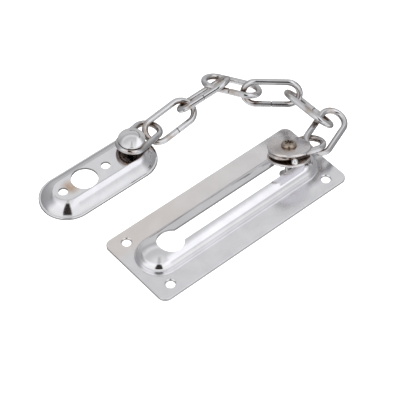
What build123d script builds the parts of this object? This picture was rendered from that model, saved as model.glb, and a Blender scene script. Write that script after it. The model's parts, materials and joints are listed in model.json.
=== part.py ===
from build123d import *
from math import cos, radians, sin, sqrt
import os

# Door chain guard: a slotted track plate, a sliding end piece, an eight-link
# chain and an anchor plate with a headed stud.
# Frame: origin in the middle of the track plate on its back face, X along the
# track towards the slider, Y towards the anchor plate, Z out of the door.

# ---------------------------------------------------------------- dimensions
SHEET = 1.0
SMALL_ROUND = 0.3

TRACK_LENGTH = 101.0
TRACK_WIDTH = 39.0
TRACK_CORNER = 3.5
TRACK_HOLE_RADIUS = 2.05
TRACK_HOLE_PITCH_X = 85.2
TRACK_HOLE_PITCH_Y = 27.9
HOLE_CHAMFER = 0.35

RIDGE_TOP = 6.2
RIDGE_END_X = 37.0
RIDGE_SIDE_CENTRE_Y = 5.5
RIDGE_SIDE_RADIUS = 4.2
RIDGE_SIDE_ANGLE = 69.4
RIDGE_FOOT_ROUND = 0.45
RIDGE_MOUTH_ROUND = 0.6
SLOT_WIDTH = 6.6
SLOT_END_X = 34.2
KEYHOLE_X = -30.8
KEYHOLE_RADIUS = 5.8

ANCHOR_LENGTH = 57.3
ANCHOR_WIDTH = 24.4
ANCHOR_CENTRE = (-29.35, 49.1)
ANCHOR_TOP = 5.6
ANCHOR_DOME_CENTRE = (2.1, -4.25)
ANCHOR_DOME_RADIUS = 10.6
ANCHOR_TOP_ROUND = 1.5
ANCHOR_RIM_ROUND = 0.45
ANCHOR_HOLE_RADIUS = 2.05
ANCHOR_HOLES_X = (-47.8, -25.4)
PARKING_HOLE_X = -36.6
PARKING_HOLE_RADIUS = 5.8

STUD_CENTRE = (-11.1, 49.1)
STUD_SHANK_RADIUS = 1.7
STUD_NECK_RADIUS = 2.1
STUD_HEAD_RADIUS = 5.85
STUD_HEAD_UNDERSIDE = 11.5
STUD_HEAD_EDGE_TOP = 12.4
STUD_HEAD_TOP = 14.0
STUD_TAIL_RADIUS = 3.5
STUD_TAIL_THICKNESS = 1.0
RING_MARK_RADIUS = 3.4
RING_MARK_START = -55
RING_MARK_ARC = 120
RING_MARK_WIRE = 0.3
FIT_CLEARANCE = 0.03

WIRE_RADIUS = 1.35
LINK_LENGTH = 27.0
LINK_WIDTH = 13.6
BEND_RADIUS = LINK_WIDTH / 2 - WIRE_RADIUS
LINK_STRAIGHT = LINK_LENGTH - LINK_WIDTH
SEAM_WIDTH = 0.45
SEAM_DEPTH = 0.3

# Resting place of each link: centre, then heading, pitch and roll in degrees.
# Heading turns the long way about Z, pitch lifts its far end, and roll tips
# the loop about its own long way. Links are counted from the stud.
LINK_POSES = (
    ((-5.3, 51.4, 6.8), 19, -15, 0),
    ((11.2, 51.0, 5.8), -1, 10, 21),
    ((28.5, 48.7, 12.6), -19, 25, -38),
    ((40.0, 43.5, 14.1), -55, -4, -19),
    ((50.0, 28.9, 14.4), -44, 2, 74),
    ((57.5, 13.3, 11.9), -87, -4, -46),
    ((55.5, 0.6, 9.4), 20, 1, 18),
    ((38.9, 0.4, 11.1), -10, -10, -18),
)
# Side of each link that carries its butt seam: +1 left of the heading, -1 right.
SEAM_SIDES = (1, -1, -1, -1, -1, 1, 1, -1)

# Slider heights run along its own leaning axis, from this point in the slot.
SLIDER_POINT = (32.7, -1.25, 6.2)
SLIDER_LEAN = (0.22, 0.28, 0.9345)
DISC_RADIUS = 9.1
DISC_THICKNESS = 1.2
DISC_EDGE_ROUND = 0.45
LOWER_DISC_BASE = 3.3
CHAIN_GAP = 3.4
SPACER_RADIUS = 2.5
FOOT_RADIUS = 3.9
FOOT_THICKNESS = 0.9
FOOT_TOP = -3.7
FOOT_NECK_RADIUS = 1.5
FOOT_COLLAR_RADIUS = 4.0
FOOT_COLLAR_BASE = 1.9
RIVET_RADIUS = 0.9
RIVET_TAIL_RADIUS = 1.8
RIVET_TAIL_HEIGHT = 0.4
RIVET_HEAD_RADIUS = 3.25
RIVET_HEAD_HEIGHT = 1.6
RIVET_HEAD_ROUND = 1.2
RIVET_STAR_LENGTH = 4.0
RIVET_STAR_WIDTH = 0.7
RIVET_STAR_DEPTH = 0.5
RIVET_STAR_TURNS = (0, 60, 120)
STOP_BALL_RADIUS = 1.45
STOP_BALL_REACH = 9.3
STOP_BALL_BEARING = -116
STOP_PIN_RADIUS = 0.5
STOP_PIN_REACH = 8.4

LOWER_DISC_TOP = LOWER_DISC_BASE + DISC_THICKNESS
UPPER_DISC_BASE = LOWER_DISC_TOP + CHAIN_GAP
UPPER_DISC_TOP = UPPER_DISC_BASE + DISC_THICKNESS
FOOT_BASE = FOOT_TOP - FOOT_THICKNESS

slider_plane = Plane(origin=SLIDER_POINT, x_dir=(1, 0, 0), z_dir=SLIDER_LEAN)


# --------------------------------------------------------------- track plate
def ridge_half_section(plane, inset):
    """Half of the ridge's cross-section, drawn in plane and inset evenly."""
    side_radius = RIDGE_SIDE_RADIUS - inset
    side_y = RIDGE_SIDE_CENTRE_Y + side_radius
    shoulder_y = RIDGE_SIDE_CENTRE_Y + side_radius * cos(radians(RIDGE_SIDE_ANGLE))
    shoulder_z = SHEET + side_radius * sin(radians(RIDGE_SIDE_ANGLE))
    crown_z = RIDGE_TOP - inset
    crown_rise = crown_z - shoulder_z
    crown_radius = (shoulder_y**2 + crown_rise**2) / (2 * crown_rise)
    with BuildSketch(plane) as section:
        with BuildLine():
            Polyline((0, crown_z), (0, 0), (side_y, 0), (side_y, SHEET))
            CenterArc((RIDGE_SIDE_CENTRE_Y, SHEET), side_radius, 0, RIDGE_SIDE_ANGLE)
            RadiusArc((shoulder_y, shoulder_z), (0, crown_z), -crown_radius)
        make_face()
    return section.sketch


def ridge_body(inset, mode):
    """The ridge as a filled half-oval bar with domed ends."""
    for end in (1, -1):
        foot = (end * RIDGE_END_X, 0, 0)
        half = ridge_half_section(Plane(origin=foot, x_dir=(0, end, 0), z_dir=(end, 0, 0)), inset)
        extrude(half, amount=-2 * RIDGE_END_X, mode=mode)
        revolve(half, axis=Axis(foot, (0, 0, -1)), revolution_arc=180, mode=mode)


def edges_beside_ridge(plate, height):
    """Straight edges at one height that run along the ridge, not along the rim."""
    reach = RIDGE_SIDE_CENTRE_Y + RIDGE_SIDE_RADIUS + SMALL_ROUND
    along = plate.edges().filter_by(Axis.X).filter_by_position(Axis.Z, height, height)
    return along.filter_by_position(Axis.Y, -reach, reach)


def build_track_plate():
    """Slotted plate with its pressed ridge, keyhole and four screw holes."""
    with BuildPart() as track_plate:
        with BuildSketch(Plane.XY):
            RectangleRounded(TRACK_LENGTH, TRACK_WIDTH, TRACK_CORNER)
        extrude(amount=SHEET)
        fillet(track_plate.edges().group_by(Axis.Z)[-1], SMALL_ROUND)
        ridge_body(0, Mode.ADD)
        fillet(edges_beside_ridge(track_plate, SHEET), RIDGE_FOOT_ROUND)
        ridge_body(SHEET, Mode.SUBTRACT)
        fillet(edges_beside_ridge(track_plate, 0), RIDGE_MOUTH_ROUND)
        with BuildSketch(Plane.XY.offset(SHEET)):
            with Locations((KEYHOLE_X, 0)):
                Circle(KEYHOLE_RADIUS)
            with Locations(((KEYHOLE_X + SLOT_END_X) / 2, 0)):
                SlotCenterToCenter(SLOT_END_X - KEYHOLE_X, SLOT_WIDTH)
        extrude(amount=RIDGE_TOP, mode=Mode.SUBTRACT)
        with BuildSketch(Plane.XY):
            with GridLocations(TRACK_HOLE_PITCH_X, TRACK_HOLE_PITCH_Y, 2, 2):
                Circle(TRACK_HOLE_RADIUS)
        extrude(amount=SHEET, mode=Mode.SUBTRACT)
        hole_rims = track_plate.edges().filter_by(GeomType.CIRCLE).filter_by(
            lambda edge: abs(edge.radius - TRACK_HOLE_RADIUS) < FIT_CLEARANCE
        )
        chamfer(hole_rims.group_by(Axis.Z)[-1], HOLE_CHAMFER)
    return track_plate.part


# -------------------------------------------------------------- anchor plate
def anchor_half_section(plane, inset):
    """Half of the anchor plate's domed cross-section, inset evenly."""
    centre_y, centre_z = ANCHOR_DOME_CENTRE
    radius = ANCHOR_DOME_RADIUS - inset
    base = SHEET - inset
    top = ANCHOR_TOP - inset
    middle = (base + top) / 2

    def dome_point(height):
        return (centre_y + sqrt(radius**2 - (height - centre_z) ** 2), height)

    with BuildSketch(plane) as section:
        with BuildLine():
            Polyline(dome_point(top), (0, top), (0, base), dome_point(base))
            ThreePointArc(dome_point(base), dome_point(middle), dome_point(top))
        make_face()
    return section.sketch


def anchor_body(inset, mode):
    """The anchor plate's outer or inner shape as a filled obround dome."""
    straight = ANCHOR_LENGTH - ANCHOR_WIDTH
    centre_x, centre_y = ANCHOR_CENTRE
    for end in (1, -1):
        middle = (centre_x + end * straight / 2, centre_y, 0)
        plane = Plane(origin=middle, x_dir=(0, end, 0), z_dir=(end, 0, 0))
        half = anchor_half_section(plane, inset)
        extrude(half, amount=-straight, mode=mode)
        revolve(half, axis=Axis(middle, (0, 0, -1)), revolution_arc=180, mode=mode)


def build_anchor_plate():
    """Domed obround plate with two screw holes and a parking hole."""
    with BuildPart() as anchor_plate:
        with BuildSketch(Plane.XY):
            with Locations(ANCHOR_CENTRE):
                SlotOverall(ANCHOR_LENGTH, ANCHOR_WIDTH)
        extrude(amount=SHEET)
        fillet(anchor_plate.edges().group_by(Axis.Z)[-1], ANCHOR_RIM_ROUND)
        anchor_body(0, Mode.ADD)
        fillet(anchor_plate.edges().group_by(Axis.Z)[-1], ANCHOR_TOP_ROUND)
        anchor_body(SHEET, Mode.SUBTRACT)
        with BuildSketch(Plane.XY):
            with Locations(*[(x, ANCHOR_CENTRE[1]) for x in ANCHOR_HOLES_X]):
                Circle(ANCHOR_HOLE_RADIUS)
            with Locations((PARKING_HOLE_X, ANCHOR_CENTRE[1])):
                Circle(PARKING_HOLE_RADIUS)
            with Locations(STUD_CENTRE):
                Circle(STUD_SHANK_RADIUS + FIT_CLEARANCE)
        extrude(amount=ANCHOR_TOP, mode=Mode.SUBTRACT)
    return anchor_plate.part


def build_anchor_stud():
    """Headed stud whose peened tail holds it in the anchor plate."""
    plate_inside = ANCHOR_TOP - SHEET
    tail_base = plate_inside - STUD_TAIL_THICKNESS
    foot = Vector(*STUD_CENTRE, 0)
    with BuildPart() as anchor_stud:
        with BuildSketch(Plane(origin=foot, x_dir=(1, 0, 0), z_dir=(0, -1, 0))):
            with BuildLine():
                Polyline(
                    (0, STUD_HEAD_TOP),
                    (0, tail_base),
                    (STUD_TAIL_RADIUS, tail_base),
                    (STUD_TAIL_RADIUS, plate_inside),
                    (STUD_SHANK_RADIUS, plate_inside),
                    (STUD_SHANK_RADIUS, ANCHOR_TOP),
                    (STUD_NECK_RADIUS, ANCHOR_TOP),
                    (STUD_NECK_RADIUS, STUD_HEAD_UNDERSIDE),
                    (STUD_HEAD_RADIUS, STUD_HEAD_UNDERSIDE),
                    (STUD_HEAD_RADIUS, STUD_HEAD_EDGE_TOP),
                )
                TangentArc(
                    (0, STUD_HEAD_TOP), (STUD_HEAD_RADIUS, STUD_HEAD_EDGE_TOP), tangent=(1, 0)
                )
            make_face()
        revolve(axis=Axis(foot, (0, 0, 1)))
        rims = anchor_stud.edges().filter_by(GeomType.CIRCLE)
        head_rims = rims.filter_by(lambda edge: edge.radius > STUD_TAIL_RADIUS)
        fillet(head_rims, SMALL_ROUND)
        bearing = radians(RING_MARK_START)
        outward = Vector(cos(bearing), sin(bearing), 0)
        mark_start = foot + outward * RING_MARK_RADIUS
        mark_start.Z = stud_dome_height(RING_MARK_RADIUS)
        with BuildSketch(Plane(origin=mark_start, x_dir=outward, z_dir=outward.rotate(Axis.Z, 90))):
            Circle(RING_MARK_WIRE)
        revolve(axis=Axis(foot, (0, 0, 1)), revolution_arc=RING_MARK_ARC, mode=Mode.SUBTRACT)
    return anchor_stud.part


def stud_dome_height(radius):
    """Height of the stud head's low dome at a distance from its axis."""
    rise = STUD_HEAD_TOP - STUD_HEAD_EDGE_TOP
    dome_radius = (STUD_HEAD_RADIUS**2 + rise**2) / (2 * rise)
    return STUD_HEAD_TOP - dome_radius + sqrt(dome_radius**2 - radius**2)


# --------------------------------------------------------------------- chain
def link_frame(centre, heading, pitch, roll):
    """Plane of a link's loop: X runs the long way, Z is square to the loop."""
    turn, lift, tip = radians(heading), radians(pitch), radians(roll)
    along = Vector(cos(lift) * cos(turn), cos(lift) * sin(turn), sin(lift))
    left = Vector(-sin(turn), cos(turn), 0)
    square = along.cross(left) * cos(tip) - left * sin(tip)
    return Plane(origin=centre, x_dir=along, z_dir=square)


def build_chain_link(frame, seam_side):
    """Closed wire loop: two straight rods and two half-round bends."""

    def cross_section(along, side):
        origin = frame.from_local_coords((along, side * BEND_RADIUS, 0))
        return Plane(origin=origin, x_dir=frame.z_dir, z_dir=frame.x_dir)

    with BuildPart() as link:
        for side in (1, -1):
            with BuildSketch(cross_section(-LINK_STRAIGHT / 2, side)):
                Circle(WIRE_RADIUS)
            extrude(amount=LINK_STRAIGHT)
        for end in (1, -1):
            bend_centre = frame.from_local_coords((end * LINK_STRAIGHT / 2, 0, 0))
            with BuildSketch(cross_section(end * LINK_STRAIGHT / 2, 1)):
                Circle(WIRE_RADIUS)
            revolve(axis=Axis(bend_centre, frame.z_dir * -end), revolution_arc=180)
        with BuildSketch(cross_section(-SEAM_WIDTH / 2, seam_side)):
            Circle(WIRE_RADIUS + SEAM_DEPTH)
            Circle(WIRE_RADIUS - SEAM_DEPTH, mode=Mode.SUBTRACT)
        extrude(amount=SEAM_WIDTH, mode=Mode.SUBTRACT)
    return link.part


# -------------------------------------------------------------------- slider
def build_slider_disc(base):
    """Round-edged disc with the rivet hole through its middle."""
    with BuildPart() as disc:
        with BuildSketch(slider_plane.offset(base)):
            Circle(DISC_RADIUS)
        extrude(amount=DISC_THICKNESS)
        fillet(disc.edges(), DISC_EDGE_ROUND)
        with BuildSketch(slider_plane.offset(base)):
            Circle(RIVET_RADIUS + FIT_CLEARANCE)
        extrude(amount=DISC_THICKNESS, mode=Mode.SUBTRACT)
    return disc.part


def build_slider_spacer():
    """Bush between the discs, which the last link turns round."""
    with BuildPart() as spacer:
        with BuildSketch(slider_plane.offset(LOWER_DISC_TOP)):
            Circle(SPACER_RADIUS)
            Circle(RIVET_RADIUS + FIT_CLEARANCE, mode=Mode.SUBTRACT)
        extrude(amount=CHAIN_GAP)
    return spacer.part


def build_slider_foot():
    """Neck that runs in the slot, a button behind the ridge and a collar above it."""
    with BuildPart() as foot:
        with BuildSketch(slider_plane.offset(FOOT_BASE)):
            Circle(FOOT_RADIUS)
        extrude(amount=FOOT_THICKNESS)
        fillet(foot.edges(), SMALL_ROUND)
        with BuildSketch(slider_plane.offset(FOOT_TOP)):
            Circle(FOOT_NECK_RADIUS)
        extrude(amount=LOWER_DISC_BASE - FOOT_TOP)
        with BuildSketch(slider_plane.offset(FOOT_COLLAR_BASE)):
            Circle(FOOT_COLLAR_RADIUS)
        extrude(amount=LOWER_DISC_BASE - FOOT_COLLAR_BASE)
        with BuildSketch(slider_plane.offset(FOOT_BASE)):
            Circle(RIVET_RADIUS + FIT_CLEARANCE)
        extrude(amount=LOWER_DISC_BASE - FOOT_BASE, mode=Mode.SUBTRACT)
    return foot.part


def build_slider_rivet():
    """Rivet through the whole slider, its head punched with a six-armed star."""
    head_top = UPPER_DISC_TOP + RIVET_HEAD_HEIGHT
    with BuildPart() as rivet:
        with BuildSketch(slider_plane.offset(FOOT_BASE)):
            Circle(RIVET_RADIUS)
        extrude(amount=UPPER_DISC_TOP - FOOT_BASE)
        with BuildSketch(slider_plane.offset(UPPER_DISC_TOP)):
            Circle(RIVET_HEAD_RADIUS)
        extrude(amount=RIVET_HEAD_HEIGHT)
        head_rim = rivet.edges().filter_by(GeomType.CIRCLE).sort_by(Axis.Z)[-1]
        fillet(head_rim, RIVET_HEAD_ROUND)
        with BuildSketch(slider_plane.offset(FOOT_BASE)):
            Circle(RIVET_TAIL_RADIUS)
        extrude(amount=-RIVET_TAIL_HEIGHT)
        with BuildSketch(slider_plane.offset(head_top)):
            for turn in RIVET_STAR_TURNS:
                SlotOverall(RIVET_STAR_LENGTH, RIVET_STAR_WIDTH, rotation=turn)
        extrude(amount=-RIVET_STAR_DEPTH, mode=Mode.SUBTRACT)
    return rivet.part


def build_slider_stop_ball():
    """Ball at the discs' rim, on a pin that stands between the discs."""
    bearing = radians(STOP_BALL_BEARING)
    ball = (STOP_BALL_REACH * cos(bearing), STOP_BALL_REACH * sin(bearing))
    pin = (STOP_PIN_REACH * cos(bearing), STOP_PIN_REACH * sin(bearing))
    gap_middle = slider_plane.offset(LOWER_DISC_TOP + CHAIN_GAP / 2)
    with BuildPart() as stop_ball:
        with Locations(gap_middle.from_local_coords((*ball, 0))):
            Sphere(STOP_BALL_RADIUS)
        with BuildSketch(slider_plane.offset(LOWER_DISC_TOP)):
            with Locations(pin):
                Circle(STOP_PIN_RADIUS)
        extrude(amount=CHAIN_GAP)
    return stop_ball.part


# -------------------------------------------------------------------- export
def save_piece(piece, name):
    """Write one piece under its node name."""
    piece.label = name
    export_step(piece, f"parts/{name}.step")
    print(name, len(piece.solids()), piece.is_valid, round(piece.volume, 1))


os.makedirs("parts", exist_ok=True)
save_piece(build_track_plate(), "track_plate")
save_piece(build_anchor_plate(), "anchor_plate")
save_piece(build_anchor_stud(), "anchor_stud")
for number, (pose, seam_side) in enumerate(zip(LINK_POSES, SEAM_SIDES), start=1):
    save_piece(build_chain_link(link_frame(*pose), seam_side), f"chain_link_{number}")
save_piece(build_slider_disc(LOWER_DISC_BASE), "slider_lower_disc")
save_piece(build_slider_disc(UPPER_DISC_BASE), "slider_upper_disc")
save_piece(build_slider_spacer(), "slider_spacer")
save_piece(build_slider_foot(), "slider_foot")
save_piece(build_slider_rivet(), "slider_rivet")
save_piece(build_slider_stop_ball(), "slider_stop_ball")
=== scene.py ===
import json

import bpy
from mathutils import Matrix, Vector


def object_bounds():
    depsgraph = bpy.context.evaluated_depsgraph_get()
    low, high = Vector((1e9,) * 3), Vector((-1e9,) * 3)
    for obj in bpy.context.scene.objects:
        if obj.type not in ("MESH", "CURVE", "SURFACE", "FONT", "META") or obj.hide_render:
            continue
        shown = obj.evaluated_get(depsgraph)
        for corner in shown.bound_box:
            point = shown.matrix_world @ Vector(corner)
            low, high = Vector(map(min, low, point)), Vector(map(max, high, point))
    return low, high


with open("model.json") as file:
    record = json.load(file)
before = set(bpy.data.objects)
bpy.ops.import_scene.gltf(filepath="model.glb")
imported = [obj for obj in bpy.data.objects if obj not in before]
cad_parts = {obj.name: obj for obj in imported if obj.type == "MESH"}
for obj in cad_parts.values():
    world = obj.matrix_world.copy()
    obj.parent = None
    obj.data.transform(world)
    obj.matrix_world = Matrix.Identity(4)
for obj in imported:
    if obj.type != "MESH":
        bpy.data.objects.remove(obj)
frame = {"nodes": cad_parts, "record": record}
cad_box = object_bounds()
nodes = frame["nodes"]

# ------------------------------------------------------------------ camera
LENS_MM = 140.0
SENSOR_MM = 36.0
CAMERA_AT = (-0.27865, -0.30759, 0.49332)
CAMERA_AIM = (-0.00467, 0.01230, 0.0)


def look_at(obj, target):
    direction = Vector(target) - obj.location
    obj.rotation_euler = direction.to_track_quat("-Z", "Y").to_euler()


camera_data = bpy.data.cameras.new("camera")
camera_data.lens = LENS_MM
camera_data.sensor_width = SENSOR_MM
camera_data.clip_start = 0.01
camera_data.clip_end = 20.0
camera = bpy.data.objects.new("camera", camera_data)
bpy.context.scene.collection.objects.link(camera)
camera.location = CAMERA_AT
look_at(camera, CAMERA_AIM)
bpy.context.scene.camera = camera


# ------------------------------------------------------------- node helpers
# Where Blender's Mix node keeps its colour sockets.
MIX_FIRST_COLOUR = 6
MIX_SECOND_COLOUR = 7
MIX_RESULT_COLOUR = 2


class Tree:
    """Short helper for building the nodes of one node tree."""

    def __init__(self, tree):
        self.tree = tree

    def new(self, kind, **settings):
        node = self.tree.nodes.new(kind)
        for key, value in settings.items():
            setattr(node, key, value)
        return node

    def link(self, source, target):
        self.tree.links.new(source, target)

    def feed(self, value, socket):
        """Give a socket a number, a colour or another node's output."""
        if isinstance(value, float):
            socket.default_value = value
        elif isinstance(value, tuple):
            socket.default_value = (*value, 1.0)
        else:
            self.link(value, socket)

    def math(self, kind, *values):
        node = self.new("ShaderNodeMath", operation=kind)
        for socket, value in zip(node.inputs, values):
            self.feed(value, socket)
        return node.outputs["Value"]

    def mix(self, factor, first, second):
        """Colour mix; first and second are colours or sockets."""
        node = self.new("ShaderNodeMix", data_type="RGBA")
        self.feed(factor, node.inputs["Factor"])
        self.feed(first, node.inputs[MIX_FIRST_COLOUR])
        self.feed(second, node.inputs[MIX_SECOND_COLOUR])
        return node.outputs[MIX_RESULT_COLOUR]

    def remap(self, value, low, high, to_low=0.0, to_high=1.0, curve="LINEAR"):
        node = self.new("ShaderNodeMapRange", interpolation_type=curve)
        node.inputs["From Min"].default_value = low
        node.inputs["From Max"].default_value = high
        node.inputs["To Min"].default_value = to_low
        node.inputs["To Max"].default_value = to_high
        self.link(value, node.inputs["Value"])
        return node.outputs["Result"]


class Nodes(Tree):
    """Helper that builds one node material."""

    def __init__(self, name):
        self.material = bpy.data.materials.new(name)
        self.material.use_nodes = True
        super().__init__(self.material.node_tree)
        self.shader = self.tree.nodes["Principled BSDF"]

    def coords(self, scale=(1.0, 1.0, 1.0)):
        """Object coordinates in metres, stretched along the three axes."""
        texture = self.new("ShaderNodeTexCoord")
        mapping = self.new("ShaderNodeMapping")
        mapping.inputs["Scale"].default_value = scale
        self.link(texture.outputs["Object"], mapping.inputs["Vector"])
        return mapping.outputs["Vector"]

    def noise(self, vector, scale, detail=4.0, roughness=0.55, distortion=0.0):
        node = self.new("ShaderNodeTexNoise")
        node.inputs["Scale"].default_value = scale
        node.inputs["Detail"].default_value = detail
        node.inputs["Roughness"].default_value = roughness
        node.inputs["Distortion"].default_value = distortion
        self.link(vector, node.inputs["Vector"])
        return node.outputs["Fac"]

    def bump(self, height, strength, distance, normal=None):
        node = self.new("ShaderNodeBump")
        node.inputs["Strength"].default_value = strength
        node.inputs["Distance"].default_value = distance
        self.link(height, node.inputs["Height"])
        if normal is not None:
            self.link(normal, node.inputs["Normal"])
        return node.outputs["Normal"]

    def crevice(self, distance):
        """1 deep in corners and gaps, 0 in the open."""
        node = self.new("ShaderNodeAmbientOcclusion", samples=8)
        node.inputs["Distance"].default_value = distance
        return self.math("SUBTRACT", 1.0, node.outputs["AO"])


# --------------------------------------------------------------- materials
# Noise scales, per metre.
CLOUD_SCALE = 90.0
SPECK_SCALE = 900.0
SWELL_SCALE = 150.0
# Bump heights, in metres.
SWELL_HEIGHT = 0.00010
SCRATCH_HEIGHT = 0.00002
SPECK_HEIGHT = 0.00002
SEAM_REACH = 0.0006
METAL_IOR = 2.6

# Heights over the plates' backs between which each surface's effect comes in.
RIM_BELOW = (0.00105, 0.00095)
FLANGE_BELOW = (0.00125, 0.00095)
SLOT_WALL_ABOVE = (0.0045, 0.0048)
STRAW_ABOVE = (0.0050, 0.0055)
STUD_SHADE_ABOVE = (0.0046, 0.0053)
# The same, along Y for the far flange and along X for its painted warm reflection and the discs'
# painted warm reflection.
FAR_FLANGE = (0.006, 0.012)
FLANGE_REFLECTION_ENDS = (0.035, -0.045)
DISC_REFLECTION_SIDE = (0.040, 0.030)

# A straw stain, and a painted shade round the stud, on the anchor plate: centre, radius and soft
# edge, seen from above.
STRAW_SPOT = ((-0.0438, 0.0492), 0.0012, 0.0036)
STUD_SHADE_SPOT = ((-0.0118, 0.0478), 0.0038, 0.0022)


def plated(name, colour, stain, roughness, waviness=0.25, stain_reach=0.004, grime=0.7,
           tints=(), brush=(60.0, 900.0, 400.0), seam_shade=False, satin=None):
    """Bright plated metal: cloudy polish, fine scratches, tarnish in corners, and a near-black
    painted shade in narrow seams when seam_shade is set.
    """
    n = Nodes(name)
    shader = n.shader
    shader.inputs["Metallic"].default_value = 1.0
    shader.inputs["IOR"].default_value = METAL_IOR
    here = n.coords()
    cloud = n.noise(here, CLOUD_SCALE, 5.0, 0.6, 0.4)
    speck = n.noise(here, SPECK_SCALE, 6.0, 0.7)
    scratch = n.noise(n.coords(brush), 3.0, 3.0, 0.6)
    base = n.mix(n.remap(cloud, 0.3, 0.7), colour, tuple(0.90 * c for c in colour))
    for tint in tints:
        base = tint(n, base)
    corner = n.crevice(stain_reach)
    patchy = n.math("MULTIPLY", n.remap(corner, 0.10, 0.50, 0.0, grime),
                    n.remap(speck, 0.25, 0.6, 0.55, 1.0))
    base = n.mix(patchy, base, stain)
    # Painted shade: the links' seams go near black where occlusion within 0.6 mm is deep.
    if seam_shade:
        base = n.mix(n.remap(n.crevice(SEAM_REACH), 0.22, 0.55, 0.0, 0.95), base, SEAM_SHADE)
    n.link(base, shader.inputs["Base Color"])
    rough = n.remap(cloud, 0.25, 0.75, roughness * 0.75, roughness * 1.3)
    rough = n.math("ADD", rough, n.remap(speck, 0.55, 0.75, 0.0, 0.05))
    rough = n.math("ADD", rough, n.math("MULTIPLY", patchy, 0.16))
    if satin is not None:
        rough = n.math("ADD", rough, satin(n))
    n.link(rough, shader.inputs["Roughness"])
    swell = n.bump(n.noise(here, SWELL_SCALE, 2.0, 0.45), waviness, SWELL_HEIGHT)
    fine = n.bump(scratch, 0.10, SCRATCH_HEIGHT, swell)
    n.link(n.bump(speck, 0.06, SPECK_HEIGHT, fine), shader.inputs["Normal"])
    return n.material


def place(n):
    """X, Y and Z of the surface point, in metres."""
    split = n.new("ShaderNodeSeparateXYZ")
    n.link(n.coords(), split.inputs["Vector"])
    return split.outputs["X"], split.outputs["Y"], split.outputs["Z"]


def spot(n, centre, radius, soft):
    """1 within a radius of a point seen from above, fading to 0 over soft."""
    x, y, _ = place(n)
    across = n.math("POWER", n.math("SUBTRACT", x, centre[0]), 2.0)
    along = n.math("POWER", n.math("SUBTRACT", y, centre[1]), 2.0)
    distance = n.math("SQRT", n.math("ADD", across, along))
    return n.remap(distance, radius + soft, radius)


def steep(n):
    """1 on walls that stand square to the plate, 0 on its faces."""
    split = n.new("ShaderNodeSeparateXYZ")
    n.link(n.new("ShaderNodeTexCoord").outputs["Normal"], split.inputs["Vector"])
    return n.remap(n.math("ABSOLUTE", split.outputs["Z"]), 0.45, 0.2)


def facing_up(n):
    """1 on faces turned away from the door, 0 on the others."""
    split = n.new("ShaderNodeSeparateXYZ")
    n.link(n.new("ShaderNodeTexCoord").outputs["Normal"], split.inputs["Vector"])
    return n.remap(split.outputs["Z"], 0.3, 0.6)


def far_flange_painted_reflection(n, base):
    """A faint warm painted reflection tints the far flange of the track plate."""
    x, y, _ = place(n)
    side = n.remap(y, *FAR_FLANGE)
    left = n.remap(x, *FLANGE_REFLECTION_ENDS, 0.35, 1.0)
    drift = n.remap(n.noise(n.coords(), 45.0, 3.0), 0.3, 0.7, 0.6, 1.0)
    amount = n.math("MULTIPLY", n.math("MULTIPLY", side, left), drift)
    return n.mix(n.math("MULTIPLY", amount, 0.90), base, (0.86, 0.79, 0.75))


def satin_flange(n):
    """Extra roughness on the flat flange; the pressed ridge is brighter."""
    _, _, z = place(n)
    return n.remap(z, *FLANGE_BELOW, 0.0, 0.15)


def tarnished_bends(n, base):
    """Brown patches left where the links rub."""
    patch = n.remap(n.noise(n.coords(), 120.0, 3.0, 0.5), 0.55, 0.66, 0.0, 0.60)
    return n.mix(patch, base, (0.40, 0.29, 0.21))


def cut_edge_track(n, base):
    """Sheared rim, screw holes and slot walls are duller than the faces."""
    _, _, z = place(n)
    rim = n.remap(z, *RIM_BELOW)
    slot_wall = n.remap(z, *SLOT_WALL_ABOVE)
    where = n.math("MULTIPLY", steep(n), n.math("MAXIMUM", rim, slot_wall))
    return n.mix(n.math("MULTIPLY", where, 0.75), base, (0.20, 0.19, 0.19))


def cut_edge_anchor(n, base):
    """Sheared rim and hole walls of the anchor plate."""
    return n.mix(n.math("MULTIPLY", steep(n), 0.85), base, (0.14, 0.13, 0.12))


def straw_anchor(n, base):
    """Straw tarnish between the anchor plate's big hole and end screw hole."""
    _, y, z = place(n)
    near = spot(n, *STRAW_SPOT)
    top = n.remap(z, *STRAW_ABOVE)
    drift = n.remap(n.noise(n.coords(), 260.0, 4.0), 0.3, 0.65, 0.45, 1.0)
    amount = n.math("MULTIPLY", n.math("MULTIPLY", near, top), drift)
    return n.mix(n.math("MULTIPLY", amount, 0.9), base, (0.50, 0.31, 0.16))


def painted_shade_round_stud(n, base):
    """Painted dark brown shade on the anchor plate round the foot of the stud, standing in for
    the stud's shadow and dark reflection.
    """
    _, _, z = place(n)
    near = spot(n, *STUD_SHADE_SPOT)
    top = n.remap(z, *STUD_SHADE_ABOVE)
    drift = n.remap(n.noise(n.coords(), 500.0, 4.0), 0.3, 0.6, 0.7, 1.0)
    amount = n.math("MULTIPLY", n.math("MULTIPLY", near, top), drift)
    return n.mix(n.math("MULTIPLY", amount, 0.95), base, (0.055, 0.035, 0.025))


def disc_painted_warm_reflection(n, base):
    """Painted warm, duller reflection on the upward faces over the left half of the slider's
    discs.
    """
    x, _, _ = place(n)
    left = n.math("MULTIPLY", n.remap(x, *DISC_REFLECTION_SIDE), facing_up(n))
    drift = n.remap(n.noise(n.coords(), 210.0, 4.0), 0.35, 0.6, 0.3, 1.0)
    return n.mix(n.math("MULTIPLY", n.math("MULTIPLY", left, drift), 0.6), base,
                 (0.70, 0.61, 0.55))


CHROME = (0.88, 0.88, 0.90)
STRAW = (0.46, 0.36, 0.27)
BROWN = (0.26, 0.17, 0.11)
UMBER = (0.16, 0.10, 0.07)
# Near-black colour of the painted shade in the chain's seams.
SEAM_SHADE = (0.04, 0.03, 0.025)

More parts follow.
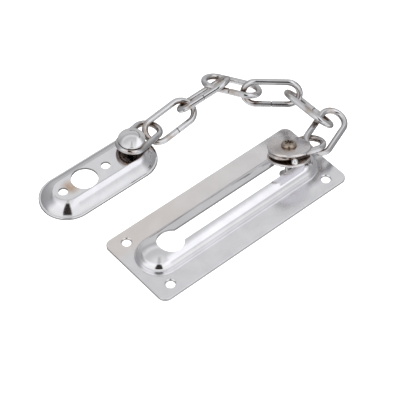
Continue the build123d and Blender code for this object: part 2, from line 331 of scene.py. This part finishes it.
materials = {
    "track_chrome": plated("track_chrome_plate", (0.92, 0.92, 0.95), (0.60, 0.58, 0.56), 0.10,
                           waviness=0.28, grime=0.20, tints=(far_flange_painted_reflection, cut_edge_track),
                           satin=satin_flange),
    # The anchor plate's tints: a straw stain, painted shade round the stud, and dark cut edges.
    "anchor_chrome": plated("anchor_chrome_plate", (0.87, 0.87, 0.90), STRAW, 0.09,
                            waviness=0.42, grime=0.20,
                            tints=(straw_anchor, painted_shade_round_stud, cut_edge_anchor)),
    "stud_chrome": plated("stud_chrome_plate", CHROME, UMBER, 0.11, waviness=0.25, grime=0.8),
    "chain_chrome": plated("chain_chrome_plate", (0.77, 0.77, 0.79), BROWN, 0.07, waviness=0.60,
                           stain_reach=0.0060, grime=0.90, brush=(300.0, 300.0, 300.0),
                           seam_shade=True, tints=(tarnished_bends,)),
    "disc_chrome": plated("disc_chrome_plate", (0.90, 0.88, 0.90), BROWN, 0.17,
                          waviness=0.20, grime=0.75, tints=(disc_painted_warm_reflection,)),
    # The spacer's dark brown is partly tarnish and partly painted shade for the narrow gap
    # between the discs.
    "spacer_steel": plated("spacer_tarnish_and_painted_shade", (0.42, 0.33, 0.26), UMBER, 0.35, grime=0.9),
    "foot_steel": plated("foot_plain_steel", (0.72, 0.71, 0.70), UMBER, 0.16, grime=0.5),
    "rivet_nickel": plated("rivet_warm_nickel", (0.47, 0.39, 0.32), UMBER, 0.24,
                           stain_reach=0.0010, grime=0.95),
    "ball_chrome": plated("ball_chrome_plate", (0.92, 0.92, 0.93), BROWN, 0.08, grime=0.4),
}

slot_of = {s["node"]: s["material_slot"] for s in frame["record"]["subparts"]}
for name, obj in nodes.items():
    obj.data.materials.clear()
    obj.data.materials.append(materials[slot_of[name]])
    for polygon in obj.data.polygons:
        polygon.material_index = 0


# ------------------------------------------------------------------- stage
FLOOR_SIZE = 6.0


def add_floor(height, material):
    half = FLOOR_SIZE / 2
    corners = [(-half, -half, 0), (half, -half, 0), (half, half, 0), (-half, half, 0)]
    mesh = bpy.data.meshes.new("floor")
    mesh.from_pydata(corners, [], [(0, 1, 2, 3)])
    mesh.materials.append(material)
    obj = bpy.data.objects.new("floor", mesh)
    bpy.context.scene.collection.objects.link(obj)
    obj.location.z = height
    obj.visible_glossy = False


# The floor lies below the deepest place that any joint's limit brings a piece to,
# 50 mm under the plates' backs, so that it hides nothing in any pose.
FLOOR_DROP = 0.056

floor = Nodes("pale_floor")
floor.shader.inputs["Base Color"].default_value = (0.55, 0.55, 0.55, 1.0)
floor.shader.inputs["Roughness"].default_value = 0.9
floor.shader.inputs["Specular IOR Level"].default_value = 0.0
floor.shader.inputs["Emission Color"].default_value = (1.0, 1.0, 1.0, 1.0)
floor.shader.inputs["Emission Strength"].default_value = 0.80
add_floor(cad_box[0][2] - FLOOR_DROP, floor.material)


# ------------------------------------------------------- studio surroundings
AWAY = (0.650, 0.760, 0.0)
RIGHTWARD = (0.760, -0.650, 0.0)
# Brightness of the light tent against the height of the direction, -1 to 1.
FRONT_TENT = (
    (-1.00, 0.80), (-0.50, 1.00), (-0.30, 0.98), (-0.06, 0.72), (0.00, 0.58), (0.10, 0.86),
    (0.30, 0.96), (0.60, 0.98), (0.85, 1.08), (1.00, 0.85),
)
BACK_TENT = (
    (-1.00, 0.70), (-0.76, 0.26), (-0.50, 0.30), (-0.20, 0.46), (0.00, 0.54), (0.17, 0.58),
    (0.34, 0.60), (0.50, 0.60), (0.62, 0.44), (0.70, 0.66), (0.76, 0.80), (0.84, 0.60),
    (0.93, 0.62), (1.00, 0.80),
)


class World(Tree):
    """Helper for the surroundings, which only light and reflections see."""

    def __init__(self, name):
        world = bpy.data.worlds.new(name)
        world.use_nodes = True
        bpy.context.scene.world = world
        super().__init__(world.node_tree)
        self.background = self.tree.nodes["Background"]
        self.direction = self.new("ShaderNodeTexCoord").outputs["Generated"]
        split = self.new("ShaderNodeSeparateXYZ")
        self.link(self.direction, split.inputs["Vector"])
        self.height = split.outputs["Z"]

    def along(self, axis):
        node = self.new("ShaderNodeVectorMath", operation="DOT_PRODUCT")
        self.link(self.direction, node.inputs[0])
        node.inputs[1].default_value = axis
        return node.outputs["Value"]

    def soft(self, value, low, high):
        return self.remap(value, low, high, curve="SMOOTHSTEP")

    def times(self, first, second):
        return self.math("MULTIPLY", first, second)

    def ramp(self, stops):
        """Brightness that follows the height of the direction."""
        node = self.new("ShaderNodeValToRGB")
        self.link(self.math("MULTIPLY_ADD", self.height, 0.5, 0.5), node.inputs["Fac"])
        elements = node.color_ramp.elements
        lowest, highest = elements
        lowest.position, highest.position = 0.0, 1.0
        lowest.color = (*(stops[0][1],) * 3, 1.0)
        highest.color = (*(stops[-1][1],) * 3, 1.0)
        for height, value in stops[1:-1]:
            element = elements.new((height + 1.0) / 2.0)
            element.color = (value, value, value, 1.0)
        return node.outputs["Color"]


WALL_COLOUR = (0.15, 0.15, 0.16)
SOFTBOX_COLOUR = (1.10, 1.10, 1.12)
OPENING_COLOUR = (0.036, 0.030, 0.027)


def side_walls(tent, away, sideways):
    """The tent's walls are dimmer low down on either side."""
    wall = tent.times(tent.soft(sideways, 0.35, 0.90), tent.soft(away, -0.45, -0.05))
    wall = tent.times(wall, tent.soft(tent.height, 0.84, 0.72))
    return tent.times(wall, 0.48)


def softbox(tent, rightward):
    """A bright panel stands high on the right."""
    return tent.times(tent.soft(rightward, 0.22, 0.38), tent.soft(tent.height, 0.72, 0.82))


def dark_opening(tent, away, sideways):
    """The dark opening where the camera looks in, and a dim strip overhead."""
    slit = tent.math("SUBTRACT", tent.times(away, -0.33), sideways)
    opening = tent.times(tent.soft(slit, -0.03, 0.05), tent.soft(tent.height, 0.20, 0.36))
    opening = tent.times(opening, tent.soft(tent.height, 0.97, 0.93))
    strip = tent.times(tent.soft(sideways, 0.10, 0.0), tent.soft(tent.height, 0.86, 0.92))
    strip = tent.times(strip, tent.soft(away, 0.30, 0.10))
    return tent.math("MAXIMUM", opening, tent.times(strip, 0.45))


def light_tent():
    tent = World("light_tent")
    away = tent.along(AWAY)
    rightward = tent.along(RIGHTWARD)
    sideways = tent.math("ABSOLUTE", rightward)
    colour = tent.mix(tent.soft(away, -0.35, 0.25), tent.ramp(FRONT_TENT), tent.ramp(BACK_TENT))
    colour = tent.mix(side_walls(tent, away, sideways), colour, WALL_COLOUR)
    colour = tent.mix(softbox(tent, rightward), colour, SOFTBOX_COLOUR)
    colour = tent.mix(dark_opening(tent, away, sideways), colour, OPENING_COLOUR)
    tent.link(colour, tent.background.inputs["Color"])
    tent.background.inputs["Strength"].default_value = 1.0


light_tent()


LIGHT_AIM = (0.0, 0.02, 0.0)


def area_light(name, location, size, power):
    data = bpy.data.lights.new(name, "AREA")
    data.shape = "SQUARE"
    data.size = size
    data.energy = power
    obj = bpy.data.objects.new(name, data)
    bpy.context.scene.collection.objects.link(obj)
    obj.location = location
    look_at(obj, LIGHT_AIM)
    obj.visible_glossy = False


area_light("key", (-0.50, 0.55, 0.95), 0.7, 5.0)
area_light("fill", (0.75, -0.35, 0.80), 0.9, 4.0)
area_light("top", (0.0, 0.05, 1.30), 0.9, 5.0)

bpy.context.scene.view_settings.view_transform = "Standard"
bpy.context.scene.view_settings.look = "None"
